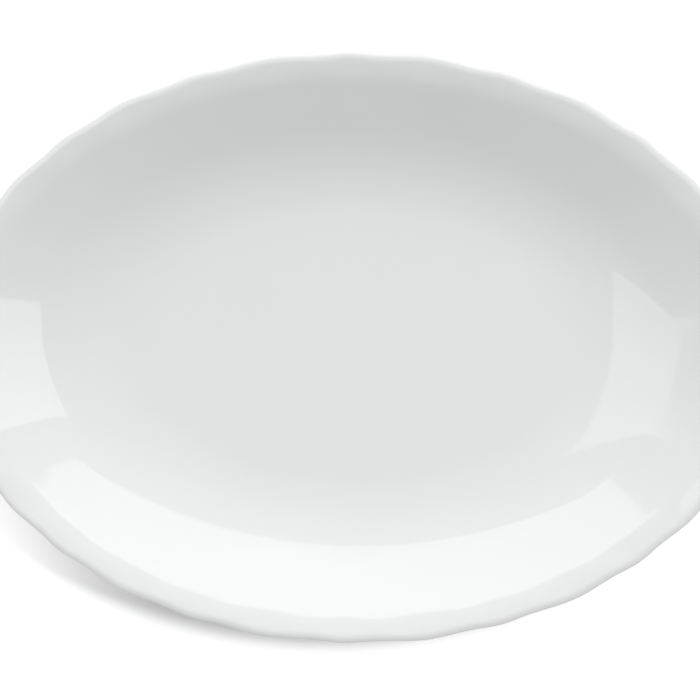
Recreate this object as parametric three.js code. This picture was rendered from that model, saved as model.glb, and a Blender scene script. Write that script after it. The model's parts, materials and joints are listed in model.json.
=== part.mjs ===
// Oval porcelain plate: a pressed body with a foot ring and a softly lobed rim, and the glaze fused to it.
// Millimetres, +Z up. The origin is on the table under the middle of the plate, X runs along its length
// and Y across it. Sections are drawn on the short axis, as points (r, z): the distance from the middle
// and the height. Each point of a section then runs round the plate as an oval ring.
import * as THREE from "three";
import { mergeGeometries } from "three/addons/utils/BufferGeometryUtils.js";

const { degToRad, lerp, smoothstep } = THREE.MathUtils;

// Overall size, over the glaze and across the lobes at the ends of both axes
const LENGTH = 280;
const WIDTH = 201;
const HEIGHT = 28;

// Flat floor of the dish
const FLOOR_LENGTH = 152;
const FLOOR_WIDTH = 92;

// The body thins from its base to its lip
const BASE_THICKNESS = 4;
const LIP_THICKNESS = 2.6;

// The wall curves up from the floor, runs straight, then turns outwards to the lip
const STRAIGHT_LENGTH = 17;
const TURN_OUT_RADIUS = 27;
const LIP_SLOPE = degToRad(15.5);

// The lip has a low crown that drops to a tight edge
const CROWN_RADIUS = 3.45;
const CROWN_END_SLOPE = degToRad(-23);
const EDGE_RADIUS = 0.4;

// Lobes of the rim: narrow and wide ones take turns, and they fade out inwards from the edge
const LOBE_PAIRS = 16;
const NARROW_LOBE_SHARE = 0.4; // of the angle of a pair
const NARROW_LOBE_RISE = 0.57; // over the dents between lobes
const WIDE_LOBE_RISE = 0.81;
const LOBE_REACH = 9;

// Foot ring
const FOOT_OUTSET = 4; // from the edge of the floor to the outer side of the ring
const FOOT_RING_WIDTH = 5;
const FOOT_HEIGHT = 3.6;
const FOOT_FILLET = 1;
const FOOT_ROUNDING = 0.9; // of the two edges that meet the table

// Glaze
const GLAZE_THICKNESS = 0.3;
const BOND_GAP = 0.05; // between the body and the glaze
const GLAZE_STOP = 0.3; // from the rounded edge of the foot up to the glaze line

// Fineness of the facets, as steps in each curve
const STEPS_IN_PAIR = 5;
const STEPS_IN_CURVE_UP = 5;
const STEPS_IN_TURN_OUT = 2;
const STEPS_IN_LIP_CURVE = 2;
const STEPS_IN_FILLET = 2;
const STEPS_IN_ROUNDING = 2;

// Sizes of the body that follow from those above
const COAT = BOND_GAP + GLAZE_THICKNESS;
const FLOOR_RADIUS = FLOOR_WIDTH / 2;
const FLOOR_Z = FOOT_HEIGHT + BASE_THICKNESS;
const RIM_RADIUS = WIDTH / 2 - NARROW_LOBE_RISE - COAT;
const FOOT_OUTER = FLOOR_RADIUS + FOOT_OUTSET;
const FOOT_INNER = FOOT_OUTER - FOOT_RING_WIDTH;
const GLAZE_LINE = FOOT_ROUNDING + GLAZE_STOP;

// The crown touches the edge, and the edge touches the curve under the lip at the outermost point. That
// curve has the radius that gives the lip its thickness.
const CROWN_CENTRE = new THREE.Vector2(
  RIM_RADIUS - EDGE_RADIUS + (CROWN_RADIUS - EDGE_RADIUS) * Math.sin(CROWN_END_SLOPE),
  HEIGHT - COAT - CROWN_RADIUS,
);
const EDGE_CENTRE = alongNormal(CROWN_CENTRE, CROWN_END_SLOPE, CROWN_RADIUS - EDGE_RADIUS);
const CROWN_DROP = CROWN_RADIUS - (CROWN_RADIUS - EDGE_RADIUS) * Math.cos(LIP_SLOPE - CROWN_END_SLOPE);
const UNDER_LIP_RADIUS = (LIP_THICKNESS - CROWN_DROP - EDGE_RADIUS * Math.sin(LIP_SLOPE))
  / (1 - Math.sin(LIP_SLOPE));
const UNDER_LIP_CENTRE = new THREE.Vector2(RIM_RADIUS - UNDER_LIP_RADIUS, EDGE_CENTRE.y);

// The straight stretch of the wall touches the curve up and the turn outwards, whose centres are on
// either side of it. The radius of the curve up is the one that brings the wall to the lip.
const LIP_START = alongNormal(CROWN_CENTRE, LIP_SLOPE, CROWN_RADIUS);
const TURN_OUT_CENTRE = alongNormal(LIP_START, LIP_SLOPE, -TURN_OUT_RADIUS);
const FLOOR_EDGE = new THREE.Vector2(FLOOR_RADIUS, FLOOR_Z);
const TURN_OUT_RISE = TURN_OUT_CENTRE.y + TURN_OUT_RADIUS - FLOOR_Z;
const CURVE_UP_RADIUS = (TURN_OUT_CENTRE.distanceToSquared(FLOOR_EDGE)
  - STRAIGHT_LENGTH ** 2 - TURN_OUT_RADIUS ** 2) / (2 * TURN_OUT_RISE);
const CURVE_UP_CENTRE = new THREE.Vector2(FLOOR_RADIUS, FLOOR_Z + CURVE_UP_RADIUS);
const CENTRE_TO_CENTRE = TURN_OUT_CENTRE.clone().sub(CURVE_UP_CENTRE);
const WALL_SLOPE = Math.atan2(CENTRE_TO_CENTRE.y, CENTRE_TO_CENTRE.x)
  + Math.atan2(CURVE_UP_RADIUS + TURN_OUT_RADIUS, STRAIGHT_LENGTH);

// A point moved away from a line of the given slope, upwards where the distance is above zero
function alongNormal(point, slope, distance) {
  return new THREE.Vector2(point.x - distance * Math.sin(slope), point.y + distance * Math.cos(slope));
}

// Calls make(share) for shares 0, 1/steps ... 1
function inSteps(steps, make) {
  return Array.from({ length: steps + 1 }, (_, step) => make(step / steps));
}

// Points of the upper side of the wall, each with its slope, from the lip down to a slope on the curve up.
// The straight stretch lies between the turn outwards and the curve up.
function wallStations(lowestSlope) {
  const turnOut = inSteps(STEPS_IN_TURN_OUT, (share) => {
    const slope = lerp(LIP_SLOPE, WALL_SLOPE, share);
    return { slope, point: alongNormal(TURN_OUT_CENTRE, slope, TURN_OUT_RADIUS) };
  });
  const curveUp = inSteps(STEPS_IN_CURVE_UP, (share) => {
    const slope = lerp(WALL_SLOPE, lowestSlope, share);
    return { slope, point: alongNormal(CURVE_UP_CENTRE, slope, -CURVE_UP_RADIUS) };
  });
  return [...turnOut, ...curveUp];
}

// Thickness of the body's wall under a point of its upper side
function thicknessAt(point) {
  return lerp(BASE_THICKNESS, LIP_THICKNESS, smoothstep(point.x, FLOOR_RADIUS, LIP_START.x));
}

// Points of a curve of the lip, from one slope towards another, without the last
function lipCurve(centre, radius, startSlope, endSlope) {
  return inSteps(STEPS_IN_LIP_CURVE, (share) => (
    alongNormal(centre, lerp(startSlope, endSlope, share), radius)
  )).slice(0, -1);
}

// Section of the lip, at a distance outside the body: from its under side over its edge and its crown
function lipSection(coat) {
  return [
    ...lipCurve(UNDER_LIP_CENTRE, UNDER_LIP_RADIUS + coat, LIP_SLOPE - Math.PI, -Math.PI / 2),
    ...lipCurve(EDGE_CENTRE, EDGE_RADIUS + coat, -Math.PI / 2, CROWN_END_SLOPE),
    alongNormal(CROWN_CENTRE, CROWN_END_SLOPE, CROWN_RADIUS + coat),
    alongNormal(CROWN_CENTRE, 0, CROWN_RADIUS + coat),
  ];
}

// Quarter curve that fills the corner between two points
function fillet(from, corner, to) {
  return new THREE.QuadraticBezierCurve(from, corner, to).getPoints(STEPS_IN_FILLET);
}

// Section inside the foot ring, at a distance outside the body: from the middle to the glaze line
function hollowSection(coat) {
  const side = FOOT_INNER - coat;
  const ceiling = FOOT_HEIGHT - coat;
  return [
    new THREE.Vector2(0, ceiling),
    ...fillet(
      new THREE.Vector2(FOOT_INNER - FOOT_FILLET, ceiling),
      new THREE.Vector2(side, ceiling),
      new THREE.Vector2(side, FOOT_HEIGHT - FOOT_FILLET),
    ),
    new THREE.Vector2(side, GLAZE_LINE),
  ];
}

// Section of the bare edge that stands on the table, from the inner side of the ring to the outer side
function standingEdgeSection() {
  const rounding = (centreRadius, startAngle) => inSteps(STEPS_IN_ROUNDING, (share) => {
    const angle = startAngle + share * Math.PI / 2;
    return new THREE.Vector2(
      centreRadius + FOOT_ROUNDING * Math.cos(angle),
      FOOT_ROUNDING + FOOT_ROUNDING * Math.sin(angle),
    );
  });
  return [
    ...rounding(FOOT_INNER + FOOT_ROUNDING, Math.PI),
    ...rounding(FOOT_OUTER - FOOT_ROUNDING, Math.PI * 1.5),
  ];
}

// Section of the outside, lip and dish, at a distance outside the body: from the glaze line on the outer
// side of the foot ring, under the wall and over the lip, to the middle of the floor. The first station has no
// point on the under side, because the curve under the lip starts next to it.
function dishSection(coat) {
  const underRadius = CURVE_UP_RADIUS + BASE_THICKNESS;
  const footSlope = Math.asin((FOOT_OUTSET + FOOT_FILLET) / underRadius);
  const under = wallStations(footSlope).slice(1).map(({ point, slope }) => (
    alongNormal(point, slope, -thicknessAt(point) - coat)
  )).reverse();
  const side = FOOT_OUTER + coat;
  const cornerZ = CURVE_UP_CENTRE.y - underRadius * Math.cos(footSlope);
  const upper = wallStations(0).map(({ point, slope }) => alongNormal(point, slope, coat));
  return [
    new THREE.Vector2(side, GLAZE_LINE),
    ...fillet(
      new THREE.Vector2(side, cornerZ - FOOT_FILLET),
      new THREE.Vector2(side, cornerZ - coat),
      under[0],
    ),
    ...under.slice(1),
    ...lipSection(coat),
    ...upper,
    new THREE.Vector2(0, FLOOR_Z + coat),
  ];
}

// How far the lobes stand out over the dents, at an angle round the plate
function lobeRise(angle) {
  const pairs = angle / (2 * Math.PI) * LOBE_PAIRS;
  const fromNarrow = Math.abs(pairs - Math.round(pairs)) * 2;
  const narrow = fromNarrow < NARROW_LOBE_SHARE;
  const fromDent = narrow
    ? 1 - fromNarrow / NARROW_LOBE_SHARE
    : (fromNarrow - NARROW_LOBE_SHARE) / (1 - NARROW_LOBE_SHARE);
  const rise = narrow ? NARROW_LOBE_RISE : WIDE_LOBE_RISE;
  return rise * (1 - Math.cos(Math.PI * fromDent)) / 2;
}

// Half the long axis of the ring whose half short axis is r
function longRadius(r) {
  const floorExcess = (FLOOR_LENGTH - FLOOR_WIDTH) / 2;
  const rimExcess = (LENGTH - WIDTH) / 2;
  if (r < FLOOR_RADIUS) return r * FLOOR_LENGTH / FLOOR_WIDTH;
  return r + lerp(floorExcess, rimExcess, smoothstep(r, FLOOR_RADIUS, LIP_START.x));
}

// Point of a ring, pushed out by its lobe at right angles to the oval
function onRing(r, angle) {
  const long = longRadius(r);
  const outward = new THREE.Vector2(r * Math.cos(angle), long * Math.sin(angle)).normalize();
  const push = lobeRise(angle) * smoothstep(r, RIM_RADIUS - LOBE_REACH, LIP_START.x);
  return new THREE.Vector2(long * Math.cos(angle), r * Math.sin(angle)).addScaledVector(outward, push);
}

// Lathed solid of a section, pressed from round to oval and lobed
function ovalLathe(section) {
  const segments = LOBE_PAIRS * STEPS_IN_PAIR;
  const geometry = new THREE.LatheGeometry(section, segments);
  const positions = geometry.getAttribute("position");
  for (let vertex = 0; vertex < positions.count; vertex += 1) {
    const { x: r, y: z } = section[vertex % section.length];
    const angle = Math.floor(vertex / section.length) / segments * 2 * Math.PI;
    const { x, y } = onRing(r, angle);
    positions.setXYZ(vertex, x, y, z);
  }
  geometry.computeVertexNormals();
  return geometry;
}

// Closed skin of glaze from the sections of its outer face, its bonded face and the edge between them.
// The bonded face has the facets of the body under it, turned round to look at the body.
function skin(outside, bond, edge) {
  const bonded = ovalLathe(bond);
  bonded.getIndex().array.reverse();
  return mergeGeometries([ovalLathe(outside), bonded, ovalLathe(edge)]);
}

function bodyGeometry() {
  return ovalLathe([...hollowSection(0), ...standingEdgeSection(), ...dishSection(0)]);
}

function coatGeometry() {
  const outside = dishSection(COAT);
  const bond = dishSection(BOND_GAP);
  return skin(outside, bond, [bond[0], outside[0]]);
}

function footWellGlazeGeometry() {
  const outside = hollowSection(COAT);
  const bond = hollowSection(BOND_GAP);
  return skin(outside, bond, [outside.at(-1), bond.at(-1)]);
}

function piece(name, geometry, finish) {
  const mesh = new THREE.Mesh(geometry, new THREE.MeshStandardMaterial(finish));
  mesh.name = name;
  return mesh;
}

const BARE_PORCELAIN = { color: 0xeeebe4, roughness: 0.8, metalness: 0 };
const CLEAR_GLAZE = { color: 0xe9ebea, roughness: 0.08, metalness: 0 };

const plate = new THREE.Group();
plate.name = "oval_plate";
plate.add(
  piece("porcelain_body", bodyGeometry(), BARE_PORCELAIN),
  piece("glaze_coat", coatGeometry(), CLEAR_GLAZE),
  piece("foot_well_glaze", footWellGlazeGeometry(), CLEAR_GLAZE),
);

export default plate;
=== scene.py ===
"""Looks of the oval porcelain plate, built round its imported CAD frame.

Metres, in the frame of the CAD: the table is at Z = 0, X runs along the plate and Y across it. Sections are
drawn on the short axis, as points (r, z), and each point then runs round the plate as an oval ring.
"""

import json
import math

import bpy
from mathutils import Matrix, Vector


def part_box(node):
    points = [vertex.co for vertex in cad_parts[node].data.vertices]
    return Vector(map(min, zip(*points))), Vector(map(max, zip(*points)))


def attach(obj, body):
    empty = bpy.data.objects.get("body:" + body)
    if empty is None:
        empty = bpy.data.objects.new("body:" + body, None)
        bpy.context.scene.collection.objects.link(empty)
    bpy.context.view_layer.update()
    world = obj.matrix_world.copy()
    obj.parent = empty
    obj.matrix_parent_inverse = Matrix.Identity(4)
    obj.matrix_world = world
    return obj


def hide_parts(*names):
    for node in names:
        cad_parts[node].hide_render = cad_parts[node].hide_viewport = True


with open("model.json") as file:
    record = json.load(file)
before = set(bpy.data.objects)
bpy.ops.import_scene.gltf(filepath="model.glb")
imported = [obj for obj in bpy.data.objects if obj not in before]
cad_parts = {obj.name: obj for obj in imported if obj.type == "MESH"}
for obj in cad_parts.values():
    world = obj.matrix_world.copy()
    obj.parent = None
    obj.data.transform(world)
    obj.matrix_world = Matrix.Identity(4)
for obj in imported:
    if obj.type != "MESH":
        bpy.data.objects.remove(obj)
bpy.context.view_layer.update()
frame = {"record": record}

# Sizes that the frame gives
_, BODY_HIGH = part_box("porcelain_body")
COAT_LOW, COAT_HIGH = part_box("glaze_coat")
_, WELL_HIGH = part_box("foot_well_glaze")
MOUNTS = {mount["name"]: Vector(mount["pos_m"]) for mount in frame["record"]["mounts"]}
HALF_LENGTH = COAT_HIGH.x
HALF_WIDTH = COAT_HIGH.y
HEIGHT = COAT_HIGH.z
COAT = COAT_HIGH.z - BODY_HIGH.z
GLAZE_LINE = COAT_LOW.z

# Sizes that the shape shares with the CAD
MM = 0.001
BOND_GAP = 0.05 * MM
FLOOR_LENGTH = 152 * MM
FLOOR_WIDTH = 92 * MM
BASE_THICKNESS = 4 * MM
LIP_THICKNESS = 2.6 * MM
STRAIGHT_LENGTH = 17 * MM
TURN_OUT_RADIUS = 27 * MM
LIP_SLOPE = math.radians(15.5)
CROWN_RADIUS = 3.45 * MM
CROWN_END_SLOPE = math.radians(-23)
EDGE_RADIUS = 0.4 * MM
LOBE_PAIRS = 16
NARROW_LOBE_SHARE = 0.4
NARROW_LOBE_RISE = 0.57 * MM
WIDE_LOBE_RISE = 0.81 * MM
LOBE_REACH = 9 * MM
FOOT_OUTSET = 4 * MM
FOOT_FILLET = 1 * MM
FOOT_ROUNDING = 0.9 * MM

# Sizes that follow from those above
FLOOR_RADIUS = FLOOR_WIDTH / 2
FLOOR_Z = MOUNTS["dish_floor"].z - COAT
FOOT_HEIGHT = WELL_HIGH.z + BOND_GAP
FOOT_OUTER = FLOOR_RADIUS + FOOT_OUTSET
FOOT_INNER = WELL_HIGH.y + BOND_GAP
RIM_RADIUS = HALF_WIDTH - NARROW_LOBE_RISE - COAT
GLAZE_EDGE_RADIUS = (COAT - BOND_GAP) / 2

# Fineness of the meshes, as steps in each curve
STEPS_IN_PAIR = 24
STEPS_IN_FLOOR = 8
STEPS_IN_CURVE_UP = 24
STEPS_IN_STRAIGHT = 8
STEPS_IN_TURN_OUT = 10
STEPS_IN_LIP_CURVE = 6
STEPS_IN_FOOT_CURVE = 6
STEPS_IN_FLOOR_EDGE = 96

# Range that most of a noise lies in
NOISE_RANGE = (0.3, 0.7)

# Colours of the glaze, and the sizes of its faint clouds, its waves and the smears in its gloss
GLAZE_PLAIN = (0.772, 0.785, 0.779, 1)
GLAZE_POOLED = (0.758, 0.775, 0.767, 1)
# Colour of the lip: thinner glaze, and painted shade that makes the lip's edge read darker
GLAZE_THIN_AND_SHADED = (0.761, 0.771, 0.764, 1)
GLAZE_CLOUD = 40 * MM
GLAZE_CLOUD_DETAIL = 3
GLAZE_WAVE = 12 * MM
GLAZE_WAVE_DETAIL = 1
GLAZE_WAVE_HEIGHT = 0.006 * MM
GLAZE_SMEAR = 3 * MM
GLAZE_SMEAR_DETAIL = 4
GLAZE_ROUGHNESS = (0.03, 0.05)
GLAZE_IOR = 1.5

# Colours of the bare standing edge, and the sizes of its grain and its scuffs
BARE_PALE = (0.76, 0.735, 0.68, 1)
BARE_DARK = (0.69, 0.655, 0.59, 1)
BARE_SCUFFED = (0.5, 0.485, 0.46, 1)
BARE_GRAIN = 0.35 * MM
BARE_GRAIN_DETAIL = 3
BARE_GRAIN_HEIGHT = 0.03 * MM
BARE_SCUFF = 6 * MM
BARE_SCUFF_DETAIL = 4
BARE_SCUFF_RANGE = (0.4, 0.65)
BARE_SCUFF_SHARE = 0.55
BARE_ROUGHNESS = (0.68, 0.85)

# View of the photograph, from almost straight above
CAMERA_DISTANCE = 0.6
CAMERA_TILT = math.radians(5.5)
CAMERA_ROLL = math.radians(0.57)
FRAME_WIDTH = 237.3 * MM
FRAME_MIDDLE = Vector((1.25 * MM, -0.95 * MM, HEIGHT))
SENSOR_WIDTH = 36

# Light of the studio
WHITE = (1, 1, 1, 1)
WORLD_FRONT = 0.22
WORLD_BACK = 1.2
GLOSS_GAP = 0.02  # from a softbox to the lamp for its mirror image
SOFTBOX_EDGE = 0.02  # softness of a cut outline
SLANTED_THROUGHOUT = 2  # a depth below every softbox
BACK_OUTLINE = {
    "flat": 1, "middle_drop": 0.15, "end_drop": 0,
    "sides": [((0.894, 0.447), 1.181, 0.3)],
}
LEFT_OUTLINE = {
    "flat": 0.1, "middle_drop": 0.08, "end_drop": 0.2,
    "sides": [((-0.966, 0.258), 0.72, SLANTED_THROUGHOUT), ((-0.128, 0.992), 1.048, SLANTED_THROUGHOUT)],
}

# Floor of the studio, its painted white lift, and the oval and the fades that shape the shadow left showing
# on it
FLOOR_REACH = 4
FLOOR_COLOUR = (0.9, 0.9, 0.9, 1)
FLOOR_PAINTED_LIFT = 0.46
UNDER_EDGE = (0.85, 1.03)
SHADOW_MIDDLE = Vector((-13.5 * MM, 0, 0))
SHADOW_EDGE = (1.01, 1.09)
SHADOW_LEFT_FADE = (-135 * MM, -60 * MM)
SHADOW_LEFT_SHARE = 0.2
SHADOW_BACK_FADE = (-40 * MM, 20 * MM)


def in_steps(steps, make):
    """make(share) for shares 0, 1/steps ... 1."""
    return [make(step / steps) for step in range(steps + 1)]


def mix(low, high, share):
    return low + (high - low) * share


def smoothstep(value, low, high):
    share = min(max((value - low) / (high - low), 0), 1)
    return share * share * (3 - 2 * share)


def along_normal(point, slope, distance):
    """A point moved away from a line of the given slope, upwards where the distance is above zero."""
    return Vector((point.x - distance * math.sin(slope), point.y + distance * math.cos(slope)))


# The crown of the lip touches its tight edge, and the edge touches the curve under the lip at the outermost
# point. That curve has the radius that gives the lip its thickness.
CROWN_CENTRE = Vector((
    RIM_RADIUS - EDGE_RADIUS + (CROWN_RADIUS - EDGE_RADIUS) * math.sin(CROWN_END_SLOPE),
    HEIGHT - COAT - CROWN_RADIUS,
))
EDGE_CENTRE = along_normal(CROWN_CENTRE, CROWN_END_SLOPE, CROWN_RADIUS - EDGE_RADIUS)
CROWN_DROP = CROWN_RADIUS - (CROWN_RADIUS - EDGE_RADIUS) * math.cos(LIP_SLOPE - CROWN_END_SLOPE)
UNDER_LIP_RADIUS = ((LIP_THICKNESS - CROWN_DROP - EDGE_RADIUS * math.sin(LIP_SLOPE))
                    / (1 - math.sin(LIP_SLOPE)))
UNDER_LIP_CENTRE = Vector((RIM_RADIUS - UNDER_LIP_RADIUS, EDGE_CENTRE.y))

# The straight stretch of the wall touches the curve up and the turn outwards, whose centres are on either
# side of it. The radius of the curve up is the one that brings the wall to the lip.
LIP_START = along_normal(CROWN_CENTRE, LIP_SLOPE, CROWN_RADIUS)
TURN_OUT_CENTRE = along_normal(LIP_START, LIP_SLOPE, -TURN_OUT_RADIUS)
FLOOR_EDGE = Vector((FLOOR_RADIUS, FLOOR_Z))
TURN_OUT_RISE = TURN_OUT_CENTRE.y + TURN_OUT_RADIUS - FLOOR_Z
CURVE_UP_RADIUS = ((TURN_OUT_CENTRE - FLOOR_EDGE).length_squared
                   - STRAIGHT_LENGTH ** 2 - TURN_OUT_RADIUS ** 2) / (2 * TURN_OUT_RISE)
CURVE_UP_CENTRE = Vector((FLOOR_RADIUS, FLOOR_Z + CURVE_UP_RADIUS))
CENTRE_TO_CENTRE = TURN_OUT_CENTRE - CURVE_UP_CENTRE
WALL_SLOPE = (math.atan2(CENTRE_TO_CENTRE.y, CENTRE_TO_CENTRE.x)
              + math.atan2(CURVE_UP_RADIUS + TURN_OUT_RADIUS, STRAIGHT_LENGTH))


def wall_stations(lowest_slope):
    """(point, slope) down the upper side of the wall, from the lip to a slope on the curve up."""
    turn_out = in_steps(STEPS_IN_TURN_OUT, lambda share: mix(LIP_SLOPE, WALL_SLOPE, share))
    curve_up = in_steps(STEPS_IN_CURVE_UP, lambda share: mix(WALL_SLOPE, lowest_slope, share))
    upper = [(along_normal(TURN_OUT_CENTRE, slope, TURN_OUT_RADIUS), slope) for slope in turn_out]
    lower = [(along_normal(CURVE_UP_CENTRE, slope, -CURVE_UP_RADIUS), slope) for slope in curve_up]
    straight_top = upper[-1][0]
    straight_foot = lower[0][0]
    between = in_steps(STEPS_IN_STRAIGHT, lambda share: straight_top.lerp(straight_foot, share))
    straight = [(point, WALL_SLOPE) for point in between]
    return upper[:-1] + straight[:-1] + lower


def lip_curve(centre, radius, start_slope, end_slope):
    """Points of a curve of the lip, without the last, from one slope to another."""
    slopes = in_steps(STEPS_IN_LIP_CURVE, lambda share: mix(start_slope, end_slope, share))
    return [along_normal(centre, slope, radius) for slope in slopes[:-1]]


def lip_section(coat):
    """Lip at a distance outside the body, from its under side over its edge and its crown."""
    return (lip_curve(UNDER_LIP_CENTRE, UNDER_LIP_RADIUS + coat, LIP_SLOPE - math.pi, -math.pi / 2)
            + lip_curve(EDGE_CENTRE, EDGE_RADIUS + coat, -math.pi / 2, CROWN_END_SLOPE)
            + lip_curve(CROWN_CENTRE, CROWN_RADIUS + coat, CROWN_END_SLOPE, 0)
            + lip_curve(CROWN_CENTRE, CROWN_RADIUS + coat, 0, LIP_SLOPE))


def thickness_at(point):
    """Thickness of the body's wall under a point of its upper side."""
    return mix(BASE_THICKNESS, LIP_THICKNESS, smoothstep(point.x, FLOOR_RADIUS, LIP_START.x))


def foot_curve(start, corner, end):
    """Curve that fills the corner between two points."""
    def point(share):
        return start.lerp(corner, share).lerp(corner.lerp(end, share), share)
    return in_steps(STEPS_IN_FOOT_CURVE, point)


def arc(centre, radius, start_angle, end_angle, steps):
    def point(share):
        angle = mix(start_angle, end_angle, share)
        return Vector((centre.x + radius * math.cos(angle), centre.y + radius * math.sin(angle)))
    return in_steps(steps, point)


def across_floor(radius, z):
    """Points from the middle out to a radius, at one height."""
    return in_steps(STEPS_IN_FLOOR, lambda share: Vector((share * radius, z)))


def hollow_section(coat, end_z):
    """Inside of the foot ring, at a distance outside the body: from the middle down to a height."""
    side = FOOT_INNER - coat
    ceiling = FOOT_HEIGHT - coat
    curve = foot_curve(
        Vector((FOOT_INNER - FOOT_FILLET, ceiling)),
        Vector((side, ceiling)),
        Vector((side, FOOT_HEIGHT - FOOT_FILLET)),
    )
    return across_floor(curve[0].x, ceiling)[:-1] + curve + [Vector((side, end_z))]


def standing_edge_section():
    """Bare edge that stands on the table, from the inner side of the foot ring to the outer side."""
    inner = Vector((FOOT_INNER + FOOT_ROUNDING, FOOT_ROUNDING))
    outer = Vector((FOOT_OUTER - FOOT_ROUNDING, FOOT_ROUNDING))
    return (arc(inner, FOOT_ROUNDING, math.pi, 1.5 * math.pi, STEPS_IN_FOOT_CURVE)
            + arc(outer, FOOT_ROUNDING, 1.5 * math.pi, 2 * math.pi, STEPS_IN_FOOT_CURVE))


def dish_section(coat, start_z):
    """Outside, lip and dish, at a distance outside the body: from a height on the outer side of the foot
    ring, under the wall and over the lip, to the middle of the floor. The first station has no point on the
    under side, because the curve under the lip starts next to it."""
    under_radius = CURVE_UP_RADIUS + BASE_THICKNESS
    foot_slope = math.asin((FOOT_OUTSET + FOOT_FILLET) / under_radius)
    under = [along_normal(point, slope, -thickness_at(point) - coat)
             for point, slope in wall_stations(foot_slope)[1:]]
    under.reverse()
    side = FOOT_OUTER + coat
    corner_z = CURVE_UP_CENTRE.y - under_radius * math.cos(foot_slope)
    curve = foot_curve(Vector((side, corner_z - FOOT_FILLET)), Vector((side, corner_z - coat)), under[0])
    upper = [along_normal(point, slope, coat) for point, slope in wall_stations(0)]
    floor = across_floor(upper[-1].x, FLOOR_Z + coat)
    floor.reverse()
    return [Vector((side, start_z))] + curve + under[1:] + lip_section(coat) + upper + floor[1:]


def lobe_rise(angle):
    """How far the lobes stand out over the dents, at an angle round the plate."""
    pairs = angle / (2 * math.pi) * LOBE_PAIRS
    from_narrow = abs(pairs - round(pairs)) * 2
    if from_narrow < NARROW_LOBE_SHARE:
        rise = NARROW_LOBE_RISE
        from_dent = 1 - from_narrow / NARROW_LOBE_SHARE
    else:
        rise = WIDE_LOBE_RISE
        from_dent = (from_narrow - NARROW_LOBE_SHARE) / (1 - NARROW_LOBE_SHARE)
    return rise * (1 - math.cos(math.pi * from_dent)) / 2


def long_radius(r):
    """Half the long axis of the ring whose half short axis is r."""
    floor_excess = (FLOOR_LENGTH - FLOOR_WIDTH) / 2
    rim_excess = HALF_LENGTH - HALF_WIDTH
    if r < FLOOR_RADIUS:
        return r * FLOOR_LENGTH / FLOOR_WIDTH
    return r + mix(floor_excess, rim_excess, smoothstep(r, FLOOR_RADIUS, LIP_START.x))


def on_ring(point, angle):
    """Where a section's point lies at an angle, pushed out by its lobe at right angles to the oval."""
    r, z = point
    long = long_radius(r)
    outward = Vector((r * math.cos(angle), long * math.sin(angle))).normalized()
    push = lobe_rise(angle) * smoothstep(r, RIM_RADIUS - LOBE_REACH, LIP_START.x)
    return long * math.cos(angle) + push * outward.x, r * math.sin(angle) + push * outward.y, z


def oval_lathe(name, section):
    """Closed solid from a section that starts and ends in the middle of the plate."""
    segments = LOBE_PAIRS * STEPS_IN_PAIR
    angles = [2 * math.pi * step / segments for step in range(segments)]
    inner = section[1:-1]
    vertices = [on_ring(point, angle) for point in inner for angle in angles]
    first = len(vertices)
    last = first + 1
    vertices += [(0, 0, section[0].y), (0, 0, section[-1].y)]
    faces = []
    for step in range(segments):
        after = (step + 1) % segments
        faces.append((first, after, step))
        for ring in range(len(inner) - 1):
            low = ring * segments
            high = low + segments
            faces.append((low + step, low + after, high + after, high + step))
        top = (len(inner) - 1) * segments
        faces.append((top + step, top + after, last))
    mesh = bpy.data.meshes.new(name)
    mesh.from_pydata(vertices, [], faces)
    mesh.shade_smooth()
    piece = bpy.data.objects.new(name, mesh)
    bpy.context.scene.collection.objects.link(piece)
    return piece


def glaze_edge(centre_radius):
    """Rounded edge of the glaze at its line on the foot ring, from its inner to its outer side."""
    centre = Vector((centre_radius, GLAZE_LINE + GLAZE_EDGE_RADIUS))
    return arc(centre, GLAZE_EDGE_RADIUS, math.pi, 2 * math.pi, STEPS_IN_FOOT_CURVE)[1:-1]


def porcelain_body():
    hollow = hollow_section(0, GLAZE_LINE)
    return oval_lathe("fired_body", hollow + standing_edge_section() + dish_section(0, GLAZE_LINE))


def glaze_coat():
    end_z = GLAZE_LINE + GLAZE_EDGE_RADIUS
    bond = dish_section(BOND_GAP, end_z)
    bond.reverse()
    edge = glaze_edge(FOOT_OUTER + BOND_GAP + GLAZE_EDGE_RADIUS)
    return oval_lathe("dish_glaze", bond + edge + dish_section(COAT, end_z))


def foot_well_glaze():
    end_z = GLAZE_LINE + GLAZE_EDGE_RADIUS
    bond = hollow_section(BOND_GAP, end_z)
    bond.reverse()
    edge = glaze_edge(FOOT_INNER - BOND_GAP - GLAZE_EDGE_RADIUS)
    return oval_lathe("foot_well_glaze_skin", hollow_section(COAT, end_z) + edge + bond)


def fill(tree, made, inputs):
    """Sets a node's sockets, by name or number, to values or to the outputs of other nodes."""
    for name, value in inputs.items():
        if isinstance(value, bpy.types.NodeSocket):
            tree.links.new(value, made.inputs[name])
        else:
            made.inputs[name].default_value = value


def node(tree, kind, output, inputs, **properties):
    """The named output of a new node."""
    made = tree.nodes.new(kind)
    for name, value in properties.items():
        setattr(made, name, value)
    fill(tree, made, inputs)
    return made.outputs[output]


def new_material(name):
    """(material, node tree, its Principled shader)."""
    material = bpy.data.materials.new(name)
    material.use_nodes = True
    tree = material.node_tree
    return material, tree, tree.nodes["Principled BSDF"]


def own_place(tree):
    """Place on the piece, in metres."""
    return node(tree, "ShaderNodeTexCoord", "Object", {})


def part_of(tree, place, axis):
    """X, Y or Z of a place."""
    return node(tree, "ShaderNodeSeparateXYZ", axis, {"Vector": place})


def calc(tree, operation, *values):
    return node(tree, "ShaderNodeMath", "Value", dict(enumerate(values)), operation=operation)


def noise(tree, place, size, detail):
    """Even noise from 0 to 1, with patches of about the given size."""
    return node(tree, "ShaderNodeTexNoise", "Fac", {"Vector": place, "Scale": 1 / size, "Detail": detail})


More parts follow.
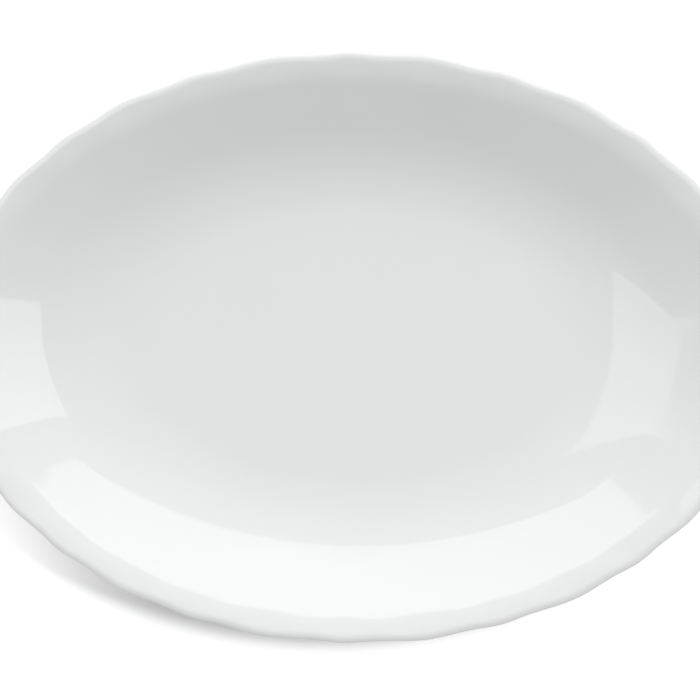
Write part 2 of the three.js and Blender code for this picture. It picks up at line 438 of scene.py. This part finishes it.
def spread(tree, value, low, high, to_low, to_high, **properties):
    """A value between low and high, spread over another range and kept within it."""
    return node(tree, "ShaderNodeMapRange", "Result", {
        "Value": value, "From Min": low, "From Max": high, "To Min": to_low, "To Max": to_high,
    }, **properties)


def blend(tree, share, first, second):
    """Colour between two others."""
    return node(tree, "ShaderNodeMixRGB", "Color", {"Fac": share, "Color1": first, "Color2": second})


def bump(tree, height, distance):
    return node(tree, "ShaderNodeBump", "Normal", {"Height": height, "Distance": distance, "Strength": 1})


def glaze_material():
    """Clear glaze on white porcelain: faintly clouded, a little thinner on the lip and greyer there, partly
    from the thinner glaze and partly as painted shade that darkens the lip's edge, with slow waves in its
    gloss."""
    material, tree, shader = new_material("clear_glaze_on_porcelain")
    place = own_place(tree)
    height = part_of(tree, place, "Z")
    clouds = spread(tree, noise(tree, place, GLAZE_CLOUD, GLAZE_CLOUD_DETAIL), *NOISE_RANGE, 0, 1)
    smears = noise(tree, place, GLAZE_SMEAR, GLAZE_SMEAR_DETAIL)
    waves = noise(tree, place, GLAZE_WAVE, GLAZE_WAVE_DETAIL)
    # Greyer towards the top of the lip: thinner glaze, and painted shade along the edge
    lip = spread(tree, height, HEIGHT - LIP_THICKNESS / 2, HEIGHT, 0, 1)
    fill(tree, shader, {
        "Base Color": blend(tree, lip, blend(tree, clouds, GLAZE_PLAIN, GLAZE_POOLED), GLAZE_THIN_AND_SHADED),
        "Roughness": spread(tree, smears, *NOISE_RANGE, *GLAZE_ROUGHNESS),
        "Normal": bump(tree, waves, GLAZE_WAVE_HEIGHT),
        "IOR": GLAZE_IOR,
    })
    return material


def bare_material():
    """Fired clay without glaze: fine grain, and grey scuffs where it stands on the table."""
    material, tree, shader = new_material("bare_fired_porcelain")
    place = own_place(tree)
    height = part_of(tree, place, "Z")
    grain = noise(tree, place, BARE_GRAIN, BARE_GRAIN_DETAIL)
    blotches = noise(tree, place, BARE_SCUFF, BARE_SCUFF_DETAIL)
    patches = spread(tree, blotches, *BARE_SCUFF_RANGE, 0, BARE_SCUFF_SHARE)
    low_down = spread(tree, height, 0, FOOT_ROUNDING / 2, 1, 0)
    scuffs = calc(tree, "MULTIPLY", patches, low_down)
    clay = blend(tree, spread(tree, grain, *NOISE_RANGE, 0, 1), BARE_PALE, BARE_DARK)
    fill(tree, shader, {
        "Base Color": blend(tree, scuffs, clay, BARE_SCUFFED),
        "Roughness": spread(tree, grain, *NOISE_RANGE, *BARE_ROUGHNESS),
        "Normal": bump(tree, grain, BARE_GRAIN_HEIGHT),
    })
    return material


def dress(piece, replaced, material):
    piece.data.materials.append(material)
    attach(piece, "root")
    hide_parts(replaced)


def area_lamp(name, place, width, depth, radiance):
    """Lamp that is mirrored, but not seen by the camera itself."""
    light = bpy.data.lights.new(name, "AREA")
    light.shape = "RECTANGLE"
    light.size = width
    light.size_y = depth
    light.energy = radiance * math.pi * width * depth
    lamp = bpy.data.objects.new(name, light)
    lamp.matrix_world = place
    lamp.visible_camera = False
    bpy.context.scene.collection.objects.link(lamp)
    return lamp


def cut_out(light, flat, middle_drop, end_drop, sides):
    """Lights a softbox only under a bent upper edge and within its sides. The edge lies below the top by
    one drop within its flat middle, and by another at its ends. A side is a line at a distance from the
    middle of the top, across a direction in the softbox. From one depth on it runs straight down."""
    light.use_nodes = True
    tree = light.node_tree
    place = node(tree, "ShaderNodeVectorMath", "Vector", {
        0: node(tree, "ShaderNodeNewGeometry", "Parametric", {}),
        1: (light.size, light.size_y, 0),
        2: (-light.size / 2, 0, 0),
    }, operation="MULTIPLY_ADD")
    across = part_of(tree, place, "X")
    down = part_of(tree, place, "Y")
    upper_edge = spread(tree, calc(tree, "ABSOLUTE", across), flat, light.size / 2, middle_drop, end_drop,
                        interpolation_type="SMOOTHSTEP")
    inside = calc(tree, "SUBTRACT", down, upper_edge)
    for (side_across, side_down), distance, straight_from in sides:
        slanted_down = calc(tree, "MULTIPLY", calc(tree, "MINIMUM", down, straight_from), side_down)
        to_side = calc(tree, "MULTIPLY_ADD", across, side_across, slanted_down)
        inside = calc(tree, "MINIMUM", inside, calc(tree, "SUBTRACT", distance, to_side))
    lit = spread(tree, inside, 0, SOFTBOX_EDGE, 0, 1)
    fill(tree, tree.nodes["Emission"], {"Strength": lit})


def softbox(name, edge, turn, tilt, width, depth, radiance, gloss, outline=None):
    """Softbox whose upper edge has its middle at a point. It slopes down and away from that edge, and faces
    down and to -Y until it is turned about the vertical. Its gloss is light for its mirror image alone, from
    just before it."""
    rotation = Matrix.Rotation(math.radians(turn), 4, "Z") @ Matrix.Rotation(math.radians(-tilt), 4, "X")
    place = Matrix.Translation(edge) @ rotation @ Matrix.Translation((0, depth / 2, 0))
    just_before = place @ Matrix.Translation((0, 0, -GLOSS_GAP))
    lamp = area_lamp(name, place, width, depth, radiance)
    mirrored = area_lamp(name + "_gloss", just_before, width, depth, gloss)
    mirrored.visible_diffuse = False
    if outline:
        cut_out(lamp.data, **outline)
        cut_out(mirrored.data, **outline)


def seen_share(tree):
    """1 for rays that see a thing itself, straight, mirrored or through glass, and 0 for others."""
    path = tree.nodes.new("ShaderNodeLightPath")
    straight_or_mirror = calc(tree, "MAXIMUM", path.outputs["Is Camera Ray"], path.outputs["Is Glossy Ray"])
    return calc(tree, "MAXIMUM", straight_or_mirror, path.outputs["Is Transmission Ray"])


def world_light():
    """Light from all round, brighter from the back than from the front. Seen itself, it is white."""
    world = bpy.data.worlds.new("studio")
    bpy.context.scene.world = world
    world.use_nodes = True
    tree = world.node_tree
    tree.nodes.clear()
    direction = node(tree, "ShaderNodeTexCoord", "Generated", {})
    level = spread(tree, part_of(tree, direction, "Y"), -1, 1, WORLD_FRONT, WORLD_BACK)
    light = node(tree, "ShaderNodeBackground", "Background", {"Color": WHITE, "Strength": level})
    white = node(tree, "ShaderNodeBackground", "Background", {"Color": WHITE, "Strength": 1})
    choice = node(tree, "ShaderNodeMixShader", "Shader", {"Fac": seen_share(tree), 1: light, 2: white})
    output = tree.nodes.new("ShaderNodeOutputWorld")
    fill(tree, output, {"Surface": choice})


def outside_oval(tree, middle, edge):
    """0 inside an oval of the plate's proportions, 1 outside it, with a soft edge."""
    away = node(tree, "ShaderNodeVectorMath", "Vector", {
        0: own_place(tree), 1: middle,
    }, operation="SUBTRACT")
    in_ovals = node(tree, "ShaderNodeVectorMath", "Vector", {
        0: away, 1: (1 / HALF_LENGTH, 1 / HALF_WIDTH, 0),
    }, operation="MULTIPLY")
    reach = node(tree, "ShaderNodeVectorMath", "Value", {0: in_ovals}, operation="LENGTH")
    return spread(tree, reach, *edge, 0, 1, interpolation_type="SMOOTHSTEP")


def studio_floor():
    """White table top. Seen itself, it glows white as painted light. This hides the cast shadow everywhere
    except under the plate and next to the rim at the front left, so the shadow left showing has the shape of
    the ovals and fades. So that the underside can be looked at, the floor is clear from below and open
    inside the foot ring."""
    opening = Vector(((FOOT_INNER + FOOT_OUTER) / 2, 0))
    angles = [2 * math.pi * step / STEPS_IN_FLOOR_EDGE for step in range(STEPS_IN_FLOOR_EDGE)]
    vertices = [on_ring(opening, angle) for angle in angles]
    vertices += [(FLOOR_REACH * math.cos(angle), FLOOR_REACH * math.sin(angle), 0) for angle in angles]
    faces = []
    for step in range(STEPS_IN_FLOOR_EDGE):
        after = (step + 1) % STEPS_IN_FLOOR_EDGE
        faces.append((step, STEPS_IN_FLOOR_EDGE + step, STEPS_IN_FLOOR_EDGE + after, after))
    mesh = bpy.data.meshes.new("floor")
    mesh.from_pydata(vertices, [], faces)
    floor = bpy.data.objects.new("floor", mesh)
    bpy.context.scene.collection.objects.link(floor)
    material, tree, shader = new_material("white_floor")
    clear_of_plate = outside_oval(tree, Vector((0, 0, 0)), UNDER_EDGE)
    outside_shadow = outside_oval(tree, SHADOW_MIDDLE, SHADOW_EDGE)
    place = own_place(tree)
    left_of_shadow = spread(tree, part_of(tree, place, "X"), *SHADOW_LEFT_FADE, 1 - SHADOW_LEFT_SHARE, 0,
                            interpolation_type="SMOOTHSTEP")
    behind_shadow = spread(tree, part_of(tree, place, "Y"), *SHADOW_BACK_FADE, 0, 1,
                           interpolation_type="SMOOTHSTEP")
    beside_shadow = calc(tree, "MAXIMUM", left_of_shadow, behind_shadow)
    clear_of_shadow = calc(tree, "MAXIMUM", outside_shadow, beside_shadow)
    # Painted light: a white glow for seen rays that hides the cast shadow outside the ovals and fades
    lift = calc(tree, "MULTIPLY", calc(tree, "MULTIPLY", clear_of_plate, clear_of_shadow), FLOOR_PAINTED_LIFT)
    strength = calc(tree, "MULTIPLY", lift, seen_share(tree))
    fill(tree, shader, {
        "Base Color": FLOOR_COLOUR,
        "Roughness": 1,
        "Specular IOR Level": 0,
        "Emission Color": WHITE,
        "Emission Strength": strength,
    })
    from_below = node(tree, "ShaderNodeNewGeometry", "Backfacing", {})
    clear = node(tree, "ShaderNodeBsdfTransparent", "BSDF", {})
    sides = node(tree, "ShaderNodeMixShader", "Shader", {
        "Fac": from_below, 1: shader.outputs["BSDF"], 2: clear,
    })
    fill(tree, tree.nodes["Material Output"], {"Surface": sides})
    mesh.materials.append(material)


def camera():
    """Camera over the plate, leaning towards +X."""
    data = bpy.data.cameras.new("camera")
    data.sensor_width = SENSOR_WIDTH
    data.lens = SENSOR_WIDTH * CAMERA_DISTANCE / FRAME_WIDTH
    viewer = bpy.data.objects.new("camera", data)
    lean = Matrix.Rotation(CAMERA_TILT, 4, "Y") @ Matrix.Rotation(CAMERA_ROLL, 4, "Z")
    step_back = Matrix.Translation((0, 0, CAMERA_DISTANCE))
    viewer.matrix_world = Matrix.Translation(FRAME_MIDDLE) @ lean @ step_back
    bpy.context.scene.collection.objects.link(viewer)
    bpy.context.scene.camera = viewer


bpy.context.scene.view_settings.view_transform = "Standard"
glaze = glaze_material()
dress(porcelain_body(), "porcelain_body", bare_material())
dress(glaze_coat(), "glaze_coat", glaze)
dress(foot_well_glaze(), "foot_well_glaze", glaze)
studio_floor()
world_light()
softbox("back_softbox", edge=(-0.227, 1.493, 2.05), turn=-5.3, tilt=34, width=2.72, depth=1.94,
        radiance=1.28, gloss=0.4, outline=BACK_OUTLINE)
softbox("right_softbox", edge=(1.03, 0.118, 2.0), turn=-73, tilt=46, width=1.3, depth=1.5,
        radiance=1.39, gloss=0.4)
softbox("left_softbox", edge=(-0.518, -0.045, 2.06), turn=75.5, tilt=33, width=1.24, depth=1.15,
        radiance=0.55, gloss=0.7, outline=LEFT_OUTLINE)
camera()
